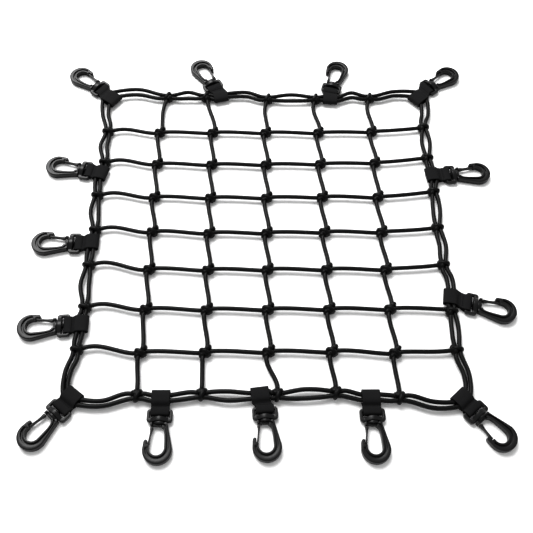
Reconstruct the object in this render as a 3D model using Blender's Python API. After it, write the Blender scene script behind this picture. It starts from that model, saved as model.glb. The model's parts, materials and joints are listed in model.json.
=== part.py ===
"""Bungee cargo net, lying flat: a knotted cord mesh in a doubled border cord,
with webbing straps that hold swivel snap hooks all round.

Sizes are in millimetres. Each mesh is scaled to metres when its object is made.
The origin is on the floor under the middle knot, +X to the right and +Y away.
"""
import math

import bmesh
import bpy
from mathutils import Matrix, Vector

METRES = 0.001

# Cords and mesh
CORD_RADIUS = 2.5
CORD_SIDES = 6
CORD_HEIGHT = 6.0          # centre line of the cords at the knots
CORD_SAG = 1.0             # how far an inner cord droops between knots
SPAN = 20.0                # longest straight step along a cord
PITCH_X = 72.0
PITCH_Y = 54.0
COLUMNS = 5
ROWS = 7

# Inner knots that lie a little off the even grid: (column, row): (x, y)
KNOT_NUDGE = {
    (5, 1): (1, 2), (5, 2): (1, 2), (1, 4): (1, 1), (1, 5): (1, 1), (1, 6): (1, 1),
    (1, 7): (-1, 0), (2, 2): (0, -1), (3, 2): (0, -1), (2, 3): (0, -1), (3, 3): (0, -1),
    (2, 4): (0, -1), (3, 4): (0, -1), (5, 7): (0, -2),
}

# Shape of a knot
KNOT_TOP = 12.4
INNER_SOCKET = 7.2         # how far out a cord leaves an inner knot
INNER_SKEW = 1.2           # cords leave higher on the right and lower on the left
INNER_LEAN = 2.6           # and further right at the far end than at the near end
BORDER_SOCKET = 6.5        # along the border
BORDER_ROOT = 8.6          # inwards, where the inner cord leaves a border knot
PAIR_HALF = 2.9            # half the distance between the two border cords in a knot
PAIR_SPLAY = 16.0          # degrees by which the two cords turn apart

# Border, anticlockwise. Every place is (along the side, distance out).
# knots: middle of the two cords. swings: (along, outer cord, inner cord).
# root: how far an inner cord's root lies from the knot's middle line. way: the
# cord's way there, cords being taken rightwards and from far to near.
BORDER = (
    {
        "side": "near", "travel": (1, 0), "root": (0, 0), "way": (0, -1),
        "knots": ((-145, 214), (-74, 213), (9.5, 214), (74, 212), (144, 218)),
        "swings": ((-182, 226, 218), (-45, 220, 208), (40, 218, 206), (180, 230.5, 221)),
        "straps": ("near_1", "near_2", "near_3"), "corner": "near_right",
    },
    {
        "side": "right", "travel": (0, 1), "root": (0, -1.4), "way": (0.98, 0.2),
        "knots": ((-160, 216), (-111, 217), (-47, 216), (7, 216), (63, 218), (119, 217), (172, 218)),
        "swings": ((-190, 225.5, 217.5), (-133, 221, 213), (-66, 223, 216), (-20, 222, 214),
                   (35, 222, 213), (146, 223, 212), (196, 227, 218)),
        "straps": ("right_1", "right_2"), "corner": "far_right",
    },
    {
        "side": "far", "travel": (-1, 0), "root": (-2.2, 0), "way": (-0.4, -0.92),
        "knots": ((147, 227), (71, 225), (4, 225), (-83, 228), (-136, 228)),
        "swings": ((182, 239, 230), (122, 236, 226), (37, 233, 219), (-26, 237, 228),
                   (-108, 238, 223), (-178, 242, 231)),
        "straps": ("far_2", "far_1"), "corner": "far_left",
    },
    {
        "side": "left", "travel": (0, -1), "root": (0, 1.8), "way": (0.95, 0.31),
        "knots": ((164, 215), (111, 214), (57, 218), (4, 215), (-47, 217), (-104, 215), (-158, 218)),
        "swings": ((195, 225, 217), (138, 222, 213), (31, 223, 213), (-75, 223, 213),
                   (-185, 227.5, 219.5)),
        "straps": ("left_1", "left_2", "left_3"), "corner": "near_left",
    },
)

# Two knots that a strap crowds: their inner cord leaves straighter
ROOTS = {("far", 4): ((2.2, 0), (0.1, -1)), ("right", 2): ((0, 2.2), (1, 0))}

# Straps and hooks. Each strap has two loops that meet at its sewn waist: the
# place and heading of the waist as the cord loop has it, then as the loop on
# the eye's bar has it (the hook's own heading), on which side of the hook its
# gate is (+1 left, -1 right), and how much longer its cord loop is drawn.
HOOKS = {
    "near_left": ((-221.5, -221.7, 232), (-221.5, -221.7, 229), -1, 0),
    "near_1": ((-118.4, -225.7, 270), (-118.4, -225.7, 269.5), -1, 0),
    "near_2": ((-8.6, -222.6, 277), (-5.1, -223.6, 273), -1, 0),
    "near_3": ((112, -226.3, 270), (112, -226.3, 271), -1, 0),
    "near_right": ((218.8, -225.9, 311), (218.8, -225.9, 310.5), -1, 0),
    "right_1": ((227.3, -94.4, 350), (231.5, -98.4, 345), 1, 0),
    "right_2": ((228.8, 91, 6), (233.1, 90.9, 3), 1, 0),
    "far_right": ((226, 234.9, 43), (226.7, 242.6, 36), 1, 6),
    "far_2": ((92.6, 234, 85), (91.9, 235.8, 73.5), 1, 0),
    "far_1": ((-65, 238, 104), (-69.5, 241.4, 117.5), -1, 0),
    "far_left": ((-226.2, 232, 143), (-226, 238.1, 141.5), -1, 6),
    "left_1": ((-225.9, 95, 166), (-227, 96.9, 171), -1, 0),
    "left_2": ((-226, -14.4, 180), (-227, -15, 180), -1, 0),
    "left_3": ((-226, -126.5, 181), (-226, -126.7, 184), -1, 0),
}

# Webbing strap, measured along its heading from the sewn waist
WEB_WIDTH = 20.0
WEB_THICK = 1.3
CORD_LOOP = (-17.4, -2.0)  # inside of the loop round the border cords
CORD_LOOP_HALF = 3.2       # half its height
BAR_LOOP = (1.8, 8.3)      # inside of the loop round the eye's bar
BAR_LOOP_HALF = 2.55
CROSSING = (-6.2, -12.8)   # where the outer and inner border cords cross a strap
CORNER_CROSSING = (-4.9, -11.0)   # and at a corner, where both turn in its loop
CORNER_EDGE = (-6.1, -13.2)       # as they are there at the strap's edges

# Eye, hook and gate: distances along the hook's axis from the eye's outer face
EYE_REACH = 19.0           # from the strap's waist to that face
AXIS_HEIGHT = 4.0
EYE_LENGTH = 16.0
EYE_WIDTH = 28.0
EYE_THICK = 4.4
EYE_CORNER = 3.0
BAR = 3.8
SWIVEL_BAR = 4.5
SWIVEL_ARCH = 2.0
ARM = 3.3
BOSS_RADIUS = 3.9
BOSS_PROUD = 0.2           # how far the boss stands out behind the swivel bar
BORE_RADIUS = 2.6
POST_RADIUS = 2.0
HEAD_RADIUS = 3.4
HEAD_LENGTH = 1.2
RUNNING_GAP = 0.3
OVERRUN = 2.0              # how far a cutter or a joined rod goes past a face
HOOK_THICK = 8.0
HOOK_RADIUS = 15.8
HOOK_CENTRE = 28.5
THROAT_RADIUS = 8.2
THROAT_CENTRE = (26.5, 0.8)
GATE_PIVOT = (4.7, 7.8)
GATE_THICK = 5.0
GATE_HALF = 1.4


# ---------------------------------------------------------------- small tools

def heading(degrees):
    angle = math.radians(degrees)
    return Vector((math.cos(angle), math.sin(angle), 0))


def from_strap(name, along, aside=0.0):
    """A place on the cords' level, given along and aside from a strap's waist."""
    x, y, turn = HOOKS[name][0]
    return Vector((x, y, CORD_HEIGHT)) + along * heading(turn) + aside * heading(turn + 90)


def side_point(travel, along, out):
    """A place beside one side of the border: travel is anticlockwise."""
    ahead = Vector((travel[0], travel[1], 0))
    outward = Vector((travel[1], -travel[0], 0))
    base = abs(ahead.x) * Vector((along, 0, 0)) + abs(ahead.y) * Vector((0, along, 0))
    return base + out * outward + Vector((0, 0, CORD_HEIGHT))


def smooth_route(points, first_way, last_way):
    """Points a short span apart on a smooth curve through the given ones."""
    route = [points[0]]
    ways = [first_way]
    last = len(points) - 1
    for i in range(last):
        length = (points[i + 1] - points[i]).length
        start_way = first_way if i == 0 else (points[i + 1] - points[i - 1]).normalized()
        end_way = last_way if i == last - 1 else (points[i + 2] - points[i]).normalized()
        steps = math.ceil(length / SPAN)
        for step in range(1, steps + 1):
            t = step / steps
            route.append(
                (2 * t**3 - 3 * t**2 + 1) * points[i] + (t**3 - 2 * t**2 + t) * length * start_way
                + (3 * t**2 - 2 * t**3) * points[i + 1] + (t**3 - t**2) * length * end_way)
            ways.append(
                ((6 * t**2 - 6 * t) * (points[i] - points[i + 1])
                 + (3 * t**2 - 4 * t + 1) * length * start_way
                 + (3 * t**2 - 2 * t) * length * end_way).normalized())
    return route, ways


# ------------------------------------------------------------------- the net

class Net:
    """Cords and knots in one mesh: each cord's end ring is part of its knot."""

    def __init__(self):
        self.bm = bmesh.new()
        self.knots = {}

    def ring(self, centre, way):
        across = way.cross(Vector((0, 0, 1))).normalized()
        up = across.cross(way)
        verts = []
        for i in range(CORD_SIDES):
            angle = math.tau * i / CORD_SIDES
            offset = math.cos(angle) * across + math.sin(angle) * up
            verts.append(self.bm.verts.new(centre + CORD_RADIUS * offset))
        return verts

    def cord(self, points, first_way, last_way, from_knot, to_knot, sag=0.0):
        route, ways = smooth_route(points, first_way, last_way)
        for i, point in enumerate(route):
            t = i / (len(route) - 1)
            point.z -= 4 * sag * t * (1 - t)
        rings = [self.ring(point, way) for point, way in zip(route, ways)]
        for near, far in zip(rings, rings[1:]):
            for i in range(CORD_SIDES):
                j = (i + 1) % CORD_SIDES
                self.bm.faces.new((near[i], near[j], far[j], far[i]))
        self.knots[from_knot]["rings"].append(rings[0])
        self.knots[to_knot]["rings"].append(rings[-1])

    def tie(self):
        """Wrap each knot tightly round its lumps and the ends of its cords."""
        for knot in self.knots.values():
            lumps = [self.bm.verts.new(point) for point in knot["lumps"]]
            verts = lumps + [vert for ring in knot["rings"] for vert in ring]
            hull = bmesh.ops.convex_hull(self.bm, input=verts)
            mouths = [set(ring) for ring in knot["rings"]]
            covers = [face for face in hull["geom"] if isinstance(face, bmesh.types.BMFace)
                      and any(set(face.verts) <= mouth for mouth in mouths)]
            bmesh.ops.delete(self.bm, geom=covers, context="FACES")
        bmesh.ops.recalc_face_normals(self.bm, faces=self.bm.faces)


def inner_knot_lumps(centre):
    """Two lobes, two shoulders, a strand on top from far left to near right."""
    places = (
        (6.2, 6.0, 3.5), (6.2, 6.0, 8.5), (-6.2, -6.0, 3.5), (-6.2, -6.0, 8.5),
        (-5.8, 4.8, 4.0), (-5.4, 4.6, 9.5), (5.8, -4.8, 4.0), (5.4, -4.6, 9.5),
        (-3.6, 3.4, KNOT_TOP), (3.6, -3.4, KNOT_TOP),
        (-3, -3, 0), (3, -3, 0), (3, 3, 0), (-3, 3, 0),
    )
    return [Vector((centre.x + x, centre.y + y, z)) for x, y, z in places]


def border_knot_lumps(centre, ahead, outward):
    """A band over both border cords and two shoulders on the inner side."""
    places = (
        (-2.0, 6.8, 3.5), (2.0, 6.8, 3.5), (-1.6, 6.4, 9.0), (1.6, 6.4, 9.0),
        (-1.4, 3.0, KNOT_TOP), (1.4, 3.0, KNOT_TOP), (-1.6, -4.2, KNOT_TOP), (1.6, -4.2, KNOT_TOP),
        (-5.2, -6.6, 3.5), (-5.0, -6.4, 8.6), (5.2, -6.6, 3.5), (5.0, -6.4, 8.6),
        (-3, -4.5, 0), (3, -4.5, 0), (3, 2.5, 0), (-3, 2.5, 0),
    )
    lumps = []
    for along, out, z in places:
        point = centre + along * ahead + out * outward
        lumps.append(Vector((point.x, point.y, z)))
    return lumps


def inner_knot_centre(column, row):
    x = PITCH_X * (column - (COLUMNS + 1) / 2)
    y = PITCH_Y * ((ROWS + 1) / 2 - row)
    nudge = KNOT_NUDGE.get((column, row), (0, 0))
    return Vector((x + nudge[0], y + nudge[1], CORD_HEIGHT))


def border_stations():
    """Knots, swings and straps in order round the border."""
    stations = []
    for side in BORDER:
        travel = side["travel"]
        ahead = Vector((travel[0], travel[1], 0))
        outward = Vector((travel[1], -travel[0], 0))
        found = []
        for number, (along, out) in enumerate(side["knots"], start=1):
            centre = side_point(travel, along, out)
            found.append((centre.dot(ahead), {
                "knot": (side["side"], number), "centre": centre,
                "ahead": ahead, "outward": outward}))
        for along, outer, inner in side["swings"]:
            pair = (side_point(travel, along, outer), side_point(travel, along, inner))
            found.append((pair[0].dot(ahead), {"pairs": [pair]}))
        for name in side["straps"]:
            pairs = strap_pairs(name, CROSSING, CROSSING)
            found.append((pairs[1][0].dot(ahead), {"pairs": pairs}))
        found.sort(key=lambda item: item[0])
        stations += [station for _, station in found]
        stations.append({"pairs": strap_pairs(side["corner"], CORNER_CROSSING, CORNER_EDGE)})
    return stations


def strap_pairs(name, middle, edge):
    """Both cords inside a strap's loop, from its right edge to its left."""
    slack = HOOKS[name][3]
    pairs = []
    for aside, (outer, inner) in ((-WEB_WIDTH / 2, edge), (0, middle), (WEB_WIDTH / 2, edge)):
        pairs.append((from_strap(name, outer, aside), from_strap(name, inner - slack, aside)))
    return pairs


def tie_border(net):
    stations = border_stations()
    for station in stations:
        if "knot" in station:
            lumps = border_knot_lumps(station["centre"], station["ahead"], station["outward"])
            net.knots[station["knot"]] = {"lumps": lumps, "rings": []}
    first = next(i for i, station in enumerate(stations) if "knot" in station)
    stations = stations[first:] + stations[:first] + [stations[first]]
    start = stations[0]
    between = []
    for station in stations[1:]:
        if "pairs" in station:
            between += station["pairs"]
            continue
        for lane, sign in enumerate((1, -1)):
            splay = math.tan(math.radians(PAIR_SPLAY)) * sign
            leave = (start["ahead"] + splay * start["outward"]).normalized()
            arrive = (station["ahead"] - splay * station["outward"]).normalized()
            points = [start["centre"] + BORDER_SOCKET * start["ahead"] + sign * PAIR_HALF * start["outward"]]
            points += [pair[lane].copy() for pair in between]
            points.append(station["centre"] - BORDER_SOCKET * station["ahead"]
                          + sign * PAIR_HALF * station["outward"])
            net.cord(points, leave, arrive, start["knot"], station["knot"])
        start = station
        between = []


def border_root(side_name, number):
    """Where an inner cord leaves a border knot, and its way into the net."""
    side = next(side for side in BORDER if side["side"] == side_name)
    along, out = side["knots"][number - 1]
    travel = side["travel"]
    inward = Vector((-travel[1], travel[0], 0))
    shift, way = ROOTS.get((side_name, number), (side["root"], side["way"]))
    root = side_point(travel, along, out) + BORDER_ROOT * inward + Vector((*shift, 0))
    return root, Vector((*way, 0)).normalized()


def knot_cords(net):
    for column in range(1, COLUMNS + 1):
        for row in range(1, ROWS + 1):
            centre = inner_knot_centre(column, row)
            net.knots[(column, row)] = {"lumps": inner_knot_lumps(centre), "rings": []}
    right = Vector((1, 0, 0))
    near = Vector((0, -1, 0))
    out_right = Vector((INNER_SOCKET, INNER_SKEW, 0))
    out_near = Vector((-INNER_LEAN, -INNER_SOCKET, 0))
    for row in range(1, ROWS + 1):
        root, way = border_root("left", row)
        net.cord([root, inner_knot_centre(1, row) - out_right], way, right,
                 ("left", row), (1, row), CORD_SAG)
        for column in range(1, COLUMNS):
            net.cord([inner_knot_centre(column, row) + out_right,
                      inner_knot_centre(column + 1, row) - out_right], right, right,
                     (column, row), (column + 1, row), CORD_SAG)
        root, way = border_root("right", ROWS + 1 - row)
        net.cord([inner_knot_centre(COLUMNS, row) + out_right, root], right, way,
                 (COLUMNS, row), ("right", ROWS + 1 - row), CORD_SAG)
    for column in range(1, COLUMNS + 1):
        root, way = border_root("far", COLUMNS + 1 - column)
        net.cord([root, inner_knot_centre(column, 1) - out_near], way, near,
                 ("far", COLUMNS + 1 - column), (column, 1), CORD_SAG)
        for row in range(1, ROWS):
            net.cord([inner_knot_centre(column, row) + out_near,
                      inner_knot_centre(column, row + 1) - out_near], near, near,
                     (column, row), (column, row + 1), CORD_SAG)
        root, way = border_root("near", column)
        net.cord([inner_knot_centre(column, ROWS) + out_near, root], near, way,
                 (column, ROWS), ("near", column), CORD_SAG)


# ------------------------------------------------------------ straps and hooks

def flat_outline(name, outlines, thick):
    """A plate cut to one outer outline and its holes, as a mesh in millimetres."""
    curve = bpy.data.curves.new(name, "CURVE")
    curve.dimensions = "2D"
    curve.fill_mode = "BOTH"
    curve.extrude = thick / 2
    for outline in outlines:
        spline = curve.splines.new("POLY")
        spline.points.add(len(outline) - 1)
        for point, (x, y) in zip(spline.points, outline):
            point.co = (x, y, 0, 1)
        spline.use_cyclic_u = True
    holder = bpy.data.objects.new(name, curve)
    bpy.context.scene.collection.objects.link(holder)
    mesh = bpy.data.meshes.new_from_object(holder.evaluated_get(bpy.context.evaluated_depsgraph_get()))
    bpy.data.objects.remove(holder)
    bpy.data.curves.remove(curve)
    bm = bmesh.new()
    bm.from_mesh(mesh)
    bmesh.ops.remove_doubles(bm, verts=bm.verts, dist=0.0001)
    bmesh.ops.recalc_face_normals(bm, faces=bm.faces)
    bm.to_mesh(mesh)
    bm.free()
    return mesh


def rod_mesh(name, radius, start, end, sides=8):
    """A round bar along X from start to end, a flat side downwards."""
    bm = bmesh.new()
    bmesh.ops.create_cone(bm, cap_ends=True, segments=sides, radius1=radius, radius2=radius,
                          depth=end - start)
    bmesh.ops.rotate(bm, verts=bm.verts, matrix=Matrix.Rotation(math.pi / sides, 3, "Z"))
    bmesh.ops.rotate(bm, verts=bm.verts, matrix=Matrix.Rotation(math.pi / 2, 3, "Y"))
    bmesh.ops.translate(bm, verts=bm.verts, vec=((start + end) / 2, 0, 0))
    mesh = bpy.data.meshes.new(name)
    bm.to_mesh(mesh)
    bm.free()
    return mesh


def combine(base, tools):
    """The base mesh with each (operation, mesh) applied in turn."""
    holder = bpy.data.objects.new("blank", base)
    bpy.context.scene.collection.objects.link(holder)
    helpers = []
    for operation, mesh in tools:
        helper = bpy.data.objects.new("tool", mesh)
        bpy.context.scene.collection.objects.link(helper)
        helpers.append(helper)
        modifier = holder.modifiers.new(operation, "BOOLEAN")
        modifier.operation = operation
        modifier.object = helper
    result = bpy.data.meshes.new_from_object(holder.evaluated_get(bpy.context.evaluated_depsgraph_get()))
    for spare in helpers + [holder]:
        bpy.data.objects.remove(spare)
    bm = bmesh.new()
    bm.from_mesh(result)
    bmesh.ops.dissolve_limit(bm, angle_limit=math.radians(0.5), verts=bm.verts, edges=bm.edges)
    bmesh.ops.triangulate(bm, faces=bm.faces)
    bm.to_mesh(result)
    bm.free()
    return result


def strap_profile(slack):
    """Side view of the folded strap: along its heading and up."""
    back = CORD_LOOP[0] - slack
    front = CORD_LOOP[1]
    bar_back, bar_front = BAR_LOOP
    cords = CORD_HEIGHT
    bar = AXIS_HEIGHT
    waist = (cords + bar) / 2
    loop = CORD_LOOP_HALF
    eye = BAR_LOOP_HALF
    cord_hole = [
        (front, cords), (front - 1.1, cords + loop * 0.72), (front - 3.6, cords + loop),
        (back + 4.2, cords + loop), (back + 1.2, cords + loop * 0.7), (back, cords),
        (back + 1.2, cords - loop * 0.7), (back + 4.2, cords - loop),
        (front - 3.6, cords - loop), (front - 1.1, cords - loop * 0.72)]
    bar_hole = [
        (bar_back, bar), (bar_back + 1.2, bar + eye), (bar_front - 1.4, bar + eye),
        (bar_front, bar), (bar_front - 1.4, bar - eye), (bar_back + 1.2, bar - eye)]
    skin = WEB_THICK
    outside = [
        (bar_front + skin, bar), (bar_front - 0.8, bar + eye + skin), (bar_back + 1.2, bar + eye + skin),
        (0, waist + skin), (front + 0.4, cords + loop * 0.72 + 0.6), (front - 2.6, cords + loop + skin),
        (back + 3.6, cords + loop + skin), (back, cords + loop * 0.9), (back - skin, cords),
        (back, cords - loop * 0.9), (back + 3.6, cords - loop - skin), (front - 2.6, cords - loop - skin),
        (front + 0.4, cords - loop * 0.72 - 0.6), (0, waist - skin), (bar_back + 1.2, bar - eye - skin),
        (bar_front - 0.8, bar - eye - skin)]
    return [outside, cord_hole, bar_hole]


def strap_mesh(name):
    """The strap about its eye's end of the waist, drawn between its two loops."""
    cords, bar, _, slack = HOOKS[name]
    mesh = flat_outline(name, strap_profile(slack), WEB_WIDTH)
    mesh.transform(Matrix.Rotation(math.pi / 2, 4, "X"))
    shift = Vector((cords[0] - bar[0], cords[1] - bar[1], 0))
    for vert in mesh.vertices:
        if abs(vert.co.x) < 0.01:
            vert.co = heading((cords[2] + bar[2]) / 2).to_track_quat("X", "Z") @ vert.co + shift / 2
        elif vert.co.x < 0:
            vert.co = heading(cords[2]).to_track_quat("X", "Z") @ vert.co + shift
        else:
            vert.co = heading(bar[2]).to_track_quat("X", "Z") @ vert.co
    return mesh


def eye_mesh():
    """A rounded frame with an arched swivel bar, a boss and a bore along X."""
    half = EYE_WIDTH / 2
    cut = EYE_CORNER
    outline = [
        (0, half - cut), (0, cut - half), (-cut, -half), (cut - EYE_LENGTH, -half),
        (-EYE_LENGTH, cut - half), (-EYE_LENGTH, half - cut), (cut - EYE_LENGTH, half), (-cut, half)]
    slot_half = half - ARM
    slot = [
        (BAR - EYE_LENGTH, slot_half), (BAR - EYE_LENGTH, -slot_half), (-SWIVEL_BAR, -slot_half),
        (-SWIVEL_BAR - SWIVEL_ARCH, -slot_half * 0.4), (-SWIVEL_BAR - SWIVEL_ARCH, slot_half * 0.4),
        (-SWIVEL_BAR, slot_half)]
    frame = flat_outline("eye", [outline, slot], EYE_THICK)
    back = -SWIVEL_BAR - SWIVEL_ARCH
    boss = rod_mesh("boss", BOSS_RADIUS, back - BOSS_PROUD, -BOSS_PROUD / 2)
    bore = rod_mesh("bore", BORE_RADIUS, back - OVERRUN, OVERRUN)
    return combine(frame, [("UNION", boss), ("DIFFERENCE", bore)])


def arc(centre, radius, start, end, steps):
    """Points on a circle, from start to end in degrees."""
    points = []
    for i in range(steps + 1):
        angle = math.radians(start + (end - start) * i / steps)
        points.append((centre[0] + radius * math.cos(angle), centre[1] + radius * math.sin(angle)))
    return points


def hook_mesh():
    """A J with a nose over the gate's tip, and the swivel post with its head."""
    shoulder = RUNNING_GAP
    outline = [(shoulder, -9.0), (2.5, -9.8)]
    outline += arc((HOOK_CENTRE, 0), HOOK_RADIUS, -100, 108, 11)
    outline += [(19.0, 14.7), (17.4, 13.6), (18.0, 12.4), (23.3, 11.4), (23.5, 9.6)]
    outline += arc(THROAT_CENTRE, THROAT_RADIUS, 100, -92, 7)
    outline += [(12.0, -6.6), (6.4, -5.0), (4.6, -2.6), (4.4, 4.4), (3.0, 5.8), (3.0, 9.2), (shoulder, 9.0)]
    body = flat_outline("hook", [outline], HOOK_THICK)
    head_face = -SWIVEL_BAR - SWIVEL_ARCH - BOSS_PROUD - RUNNING_GAP
    post = rod_mesh("post", POST_RADIUS, head_face - HEAD_LENGTH / 2, OVERRUN)
    head = rod_mesh("head", HEAD_RADIUS, head_face - HEAD_LENGTH, head_face)
    return combine(body, [("UNION", post), ("UNION", head)])


def gate_mesh():
    """A thin tongue from its round root to the tip behind the nose."""
    half = GATE_HALF
    outline = arc((0, 0), half, 100, 280, 4)
    outline += [(18.2, 1.1), (18.2, 3.0)]
    return flat_outline("gate", [outline], GATE_THICK)


# -------------------------------------------------------------------- assembly

def material(name, colour, roughness, metallic=0.0):
    made = bpy.data.materials.new(name)
    made.use_nodes = True
    shader = made.node_tree.nodes["Principled BSDF"]
    shader.inputs["Base Color"].default_value = (*colour, 1)
    shader.inputs["Roughness"].default_value = roughness
    shader.inputs["Metallic"].default_value = metallic
    return made


def add_object(name, mesh, finish, collection, parent=None):
    """One named piece in metres."""
    mesh.name = name
    mesh.transform(Matrix.Scale(METRES, 4))
    mesh.materials.clear()
    mesh.materials.append(finish)
    piece = bpy.data.objects.new(name, mesh)
    collection.objects.link(piece)
    piece.parent = parent
    return piece


def add_net(finish, collection):
    net = Net()
    tie_border(net)
    knot_cords(net)
    net.tie()
    mesh = bpy.data.meshes.new("net")
    net.bm.to_mesh(mesh)
    net.bm.free()
    piece = add_object("net", mesh, finish, collection)
    piece.data.shade_smooth()
    return piece


def add_hook_set(name, webbing, plastic, meshes, collection):
    _, (x, y, hook_heading), gate_side, _ = HOOKS[name]
    strap = add_object(f"strap_{name}", strap_mesh(name), webbing, collection)
    strap.location = Vector((x, y, 0)) * METRES
    eye = add_object(f"eye_{name}", meshes["eye"].copy(), plastic, collection)
    eye.location = (Vector((x, y, AXIS_HEIGHT)) + EYE_REACH * heading(hook_heading)) * METRES
    eye.rotation_euler = (0, 0, math.radians(hook_heading))
    hook = add_object(f"hook_{name}", meshes["hook"].copy(), plastic, collection, eye)
    hook.rotation_euler = (0 if gate_side > 0 else math.pi, 0, 0)
    gate = add_object(f"gate_{name}", meshes["gate"].copy(), plastic, collection, hook)
    gate.location = Vector((*GATE_PIVOT, 0)) * METRES


def main():
    for old in list(bpy.data.objects):
        bpy.data.objects.remove(old)
    collection = bpy.data.collections.new("cargo_net")
    bpy.context.scene.collection.children.link(collection)
    cord = material("bungee cord", (0.022, 0.022, 0.024), 0.72)
    webbing = material("webbing", (0.018, 0.018, 0.019), 0.88)
    plastic = material("moulded plastic", (0.03, 0.03, 0.032), 0.42)
    add_net(cord, collection)
    meshes = {"eye": eye_mesh(), "hook": hook_mesh(), "gate": gate_mesh()}
    for name in HOOKS:
        add_hook_set(name, webbing, plastic, meshes, collection)
    for mesh in meshes.values():
        bpy.data.meshes.remove(mesh)


main()
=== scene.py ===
import json
import math
import random

import bmesh
import bpy
from mathutils import Matrix, Vector


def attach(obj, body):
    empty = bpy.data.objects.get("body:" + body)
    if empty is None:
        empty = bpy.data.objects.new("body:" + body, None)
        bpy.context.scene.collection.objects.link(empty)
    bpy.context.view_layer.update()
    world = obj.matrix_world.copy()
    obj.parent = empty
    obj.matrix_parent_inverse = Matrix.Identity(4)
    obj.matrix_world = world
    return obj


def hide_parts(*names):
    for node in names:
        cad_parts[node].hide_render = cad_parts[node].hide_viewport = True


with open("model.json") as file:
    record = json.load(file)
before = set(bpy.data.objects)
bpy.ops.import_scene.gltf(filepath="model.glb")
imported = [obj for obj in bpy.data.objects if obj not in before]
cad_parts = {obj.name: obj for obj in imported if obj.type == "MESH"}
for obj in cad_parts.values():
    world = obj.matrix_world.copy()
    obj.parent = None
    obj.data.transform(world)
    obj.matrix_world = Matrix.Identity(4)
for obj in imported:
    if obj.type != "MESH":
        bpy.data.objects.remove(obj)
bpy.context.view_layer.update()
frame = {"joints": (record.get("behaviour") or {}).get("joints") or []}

mm = 0.001
random.seed(14)

# Black bungee cargo net lying flat, with 14 webbing straps and swivel snap hooks.
# Pieces are drawn in millimetres and scaled once, when they are put in place.


# tools for working on a mesh as by hand

def deselect():
    if bpy.context.mode != "OBJECT":
        bpy.ops.object.mode_set(mode="OBJECT")
    bpy.ops.object.select_all(action="DESELECT")


def makeActive(piece):
    deselect()
    piece.select_set(True)
    bpy.context.view_layer.objects.active = piece


def startEdit(piece):
    makeActive(piece)
    bpy.ops.object.mode_set(mode="EDIT")


def endEdit():
    bpy.ops.object.mode_set(mode="OBJECT")


def selectAll():
    bpy.ops.mesh.select_all(action="SELECT")


def pick(kind, test):
    # selects only the points, edges or faces (VERT, EDGE, FACE) that pass the test
    mesh = bpy.context.edit_object.data
    bpy.ops.mesh.select_mode(type=kind)
    bpy.ops.mesh.select_all(action="DESELECT")
    bm = bmesh.from_edit_mesh(mesh)
    for item in {"VERT": bm.verts, "EDGE": bm.edges, "FACE": bm.faces}[kind]:
        if test(item):
            item.select_set(True)
    bm.select_flush_mode()
    bmesh.update_edit_mesh(mesh)


def middle(face):
    return sum((v.co for v in face.verts), Vector()) / len(face.verts)


def isAt(point, places, reach=0.01):
    return any((point - place).length < reach for place in places)


def move(x=0.0, y=0.0, z=0.0):
    bpy.ops.transform.translate(value=(x, y, z))


def between(ends, share):
    return ends[0] + (ends[1] - ends[0]) * share


def addModifier(piece, kind, **settings):
    modifier = piece.modifiers.new(kind.title(), kind)
    for name, value in settings.items():
        setattr(modifier, name, value)


def mirrorDown(piece):
    addModifier(piece, "MIRROR", use_axis=(False, False, True), merge_threshold=0.001)


def easeEdges(piece, width, segments, sharp):
    # rounds the edges that turn by more than so many degrees
    addModifier(piece, "BEVEL", width=width, segments=segments, limit_method="ANGLE",
                angle_limit=math.radians(sharp))


def applyModifiers(piece):
    makeActive(piece)
    for modifier in list(piece.modifiers):
        bpy.ops.object.modifier_apply(modifier=modifier.name)


def cutOut(piece, cutter):
    addModifier(piece, "BOOLEAN", operation="DIFFERENCE", object=cutter)
    applyModifiers(piece)
    bpy.data.objects.remove(cutter)


def joinPieces(name, pieces):
    deselect()
    for piece in pieces:
        piece.select_set(True)
    bpy.context.view_layer.objects.active = pieces[0]
    bpy.ops.object.join()
    joined = bpy.context.object
    joined.name = name
    startEdit(joined)
    selectAll()
    bpy.ops.mesh.normals_make_consistent(inside=False)
    endEdit()
    return joined


def smooth(piece, degrees):
    makeActive(piece)
    bpy.ops.object.shade_smooth_by_angle(angle=math.radians(degrees))


def addObject(name, data):
    made = bpy.data.objects.new(name, data)
    bpy.context.scene.collection.objects.link(made)
    return made


def addPiece(name, bm, finish):
    # a piece in metres from a mesh drawn in millimetres
    mesh = bpy.data.meshes.new(name)
    bm.to_mesh(mesh)
    bm.free()
    mesh.transform(Matrix.Scale(mm, 4))
    mesh.materials.append(finish)
    return addObject(name, mesh)


def addFace(bm, uv, corners, places):
    face = bm.faces.new(corners)
    for loop, place in zip(face.loops, places):
        loop[uv].uv = place
    return face


def copyTo(name, model, place, finish):
    # a copy with its own mesh, put in its place in metres
    mesh = model.data.copy()
    mesh.transform(place @ Matrix.Scale(mm, 4))
    mesh.materials.clear()
    mesh.materials.append(finish)
    return addObject(name, mesh)


# tools for shaders

class Wire:
    # a socket that takes part in sums
    def __init__(self, finish, socket):
        self.finish = finish
        self.socket = socket

    def math(self, operation, *values):
        return self.finish.math(operation, self, *values)

    def __add__(self, other):
        return self.math("ADD", other)

    def __sub__(self, other):
        return self.math("SUBTRACT", other)

    def __rsub__(self, other):
        return self.finish.math("SUBTRACT", other, self)

    def __mul__(self, other):
        return self.math("MULTIPLY", other)

    def __truediv__(self, other):
        return self.math("DIVIDE", other)

    def __rtruediv__(self, other):
        return self.finish.math("DIVIDE", other, self)

    __radd__ = __add__
    __rmul__ = __mul__

    def sin(self):
        return self.math("SINE")

    def max(self, other):
        return self.math("MAXIMUM", other)

    def fract(self):
        return self.math("FRACT")


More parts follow.
